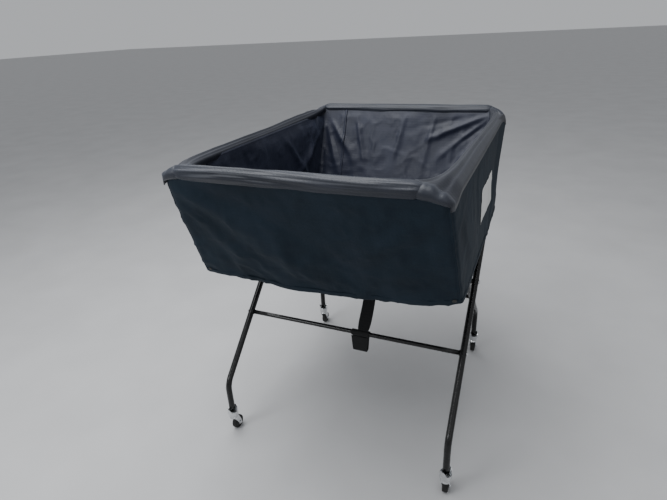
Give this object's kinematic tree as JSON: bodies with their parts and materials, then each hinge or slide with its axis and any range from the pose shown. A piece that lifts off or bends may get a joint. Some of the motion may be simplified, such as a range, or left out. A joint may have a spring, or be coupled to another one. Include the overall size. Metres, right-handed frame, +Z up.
{
  "type": "folding ball cart",
  "caption": "Folding X-frame ball cart: crossed tube frames on swivel casters carry an open fabric bin for loose sports balls.",
  "frame": {"origin": "on the floor, under the middle of the open cart's bounding box", "axes": "+X to the cart's right along the front top rail, +Y to the rear, +Z up"},
  "size_m": [0.8426, 1.087, 1.0855],
  "materials": {
    "frame_paint": "gloss black powder coat",
    "bright_steel": "bright zinc plate",
    "nylon": "black nylon",
    "wheel_plastic": "black moulded nylon",
    "tyre_rubber": "black rubber",
    "cover_fabric": "near-black navy polyester, plain weave, slight sheen",
    "lining_fabric": "dark blue-grey coated polyester lining, satin",
    "webbing": "black ribbed polypropylene webbing",
    "snap_plastic": "black moulded snap"
  },
  "bodies": {
    "outer_frame": {"outer_left_leg": "frame_paint", "outer_left_crossbar_screw": "bright_steel", "outer_right_leg": "frame_paint", "outer_right_crossbar_screw": "bright_steel", "outer_top_bow": "frame_paint", "outer_crossbar": "frame_paint", "left_pivot_bolt": "bright_steel", "left_pivot_spacer": "nylon", "left_pivot_nut": "bright_steel", "right_pivot_bolt": "bright_steel", "right_pivot_spacer": "nylon", "right_pivot_nut": "bright_steel", "front_left_caster_stem": "bright_steel", "front_right_caster_stem": "bright_steel", "rear_rail_sleeve": "cover_fabric", "rear_panel": "cover_fabric", "rear_lining": "lining_fabric", "bin_floor": "lining_fabric", "left_side_panel": "cover_fabric", "left_side_lining": "lining_fabric", "left_side_band": "cover_fabric", "right_side_panel": "cover_fabric", "right_side_lining": "lining_fabric", "right_side_band": "cover_fabric", "spreader_strap": "webbing", "strap_front_loop": "webbing", "strap_tail_loop": "webbing"},
    "inner_frame": {"inner_left_leg": "frame_paint", "inner_left_crossbar_screw": "bright_steel", "inner_right_leg": "frame_paint", "inner_right_crossbar_screw": "bright_steel", "inner_top_bow": "frame_paint", "inner_crossbar": "frame_paint", "rear_left_caster_stem": "bright_steel", "rear_right_caster_stem": "bright_steel", "front_rail_sleeve": "cover_fabric", "front_panel": "cover_fabric", "front_lining": "lining_fabric", "left_hem_snap": "snap_plastic", "right_hem_snap": "snap_plastic", "strap_rear_loop": "webbing"},
    "front_left_fork": {"front_left_caster_fork": "bright_steel", "front_left_axle": "bright_steel"},
    "front_left_wheel": {"front_left_wheel_hub": "wheel_plastic", "front_left_tyre": "tyre_rubber"},
    "front_right_fork": {"front_right_caster_fork": "bright_steel", "front_right_axle": "bright_steel"},
    "front_right_wheel": {"front_right_wheel_hub": "wheel_plastic", "front_right_tyre": "tyre_rubber"},
    "rear_left_fork": {"rear_left_caster_fork": "bright_steel", "rear_left_axle": "bright_steel"},
    "rear_left_wheel": {"rear_left_wheel_hub": "wheel_plastic", "rear_left_tyre": "tyre_rubber"},
    "rear_right_fork": {"rear_right_caster_fork": "bright_steel", "rear_right_axle": "bright_steel"},
    "rear_right_wheel": {"rear_right_wheel_hub": "wheel_plastic", "rear_right_tyre": "tyre_rubber"}
  },
  "joints": [
    {"name": "fold", "type": "hinge", "parent": "outer_frame", "child": "inner_frame", "pos_m": [0, 0, 0.58208], "axis": [-1, 0, 0], "range_deg": [0, 60], "deforming": ["left_side_panel", "right_side_panel", "left_side_lining", "right_side_lining", "left_side_band", "right_side_band", "spreader_strap"]},
    {"name": "front_left_swivel", "type": "hinge", "parent": "outer_frame", "child": "front_left_fork", "pos_m": [-0.402, -0.392, 0.06], "axis": [0, 0, 1], "continuous": true},
    {"name": "front_left_roll", "type": "hinge", "parent": "front_left_fork", "child": "front_left_wheel", "pos_m": [-0.402, -0.374, 0.0255], "axis": [1, 0, 0], "continuous": true},
    {"name": "front_right_swivel", "type": "hinge", "parent": "outer_frame", "child": "front_right_fork", "pos_m": [0.402, -0.392, 0.06], "axis": [0, 0, 1], "continuous": true},
    {"name": "front_right_roll", "type": "hinge", "parent": "front_right_fork", "child": "front_right_wheel", "pos_m": [0.402, -0.374, 0.0255], "axis": [1, 0, 0], "continuous": true},
    {"name": "rear_left_swivel", "type": "hinge", "parent": "inner_frame", "child": "rear_left_fork", "pos_m": [-0.374, 0.392, 0.06], "axis": [0, 0, 1], "continuous": true},
    {"name": "rear_left_roll", "type": "hinge", "parent": "rear_left_fork", "child": "rear_left_wheel", "pos_m": [-0.374, 0.41, 0.0255], "axis": [1, 0, 0], "continuous": true},
    {"name": "rear_right_swivel", "type": "hinge", "parent": "inner_frame", "child": "rear_right_fork", "pos_m": [0.374, 0.392, 0.06], "axis": [0, 0, 1], "continuous": true},
    {"name": "rear_right_roll", "type": "hinge", "parent": "rear_right_fork", "child": "rear_right_wheel", "pos_m": [0.374, 0.41, 0.0255], "axis": [1, 0, 0], "continuous": true}
  ]
}
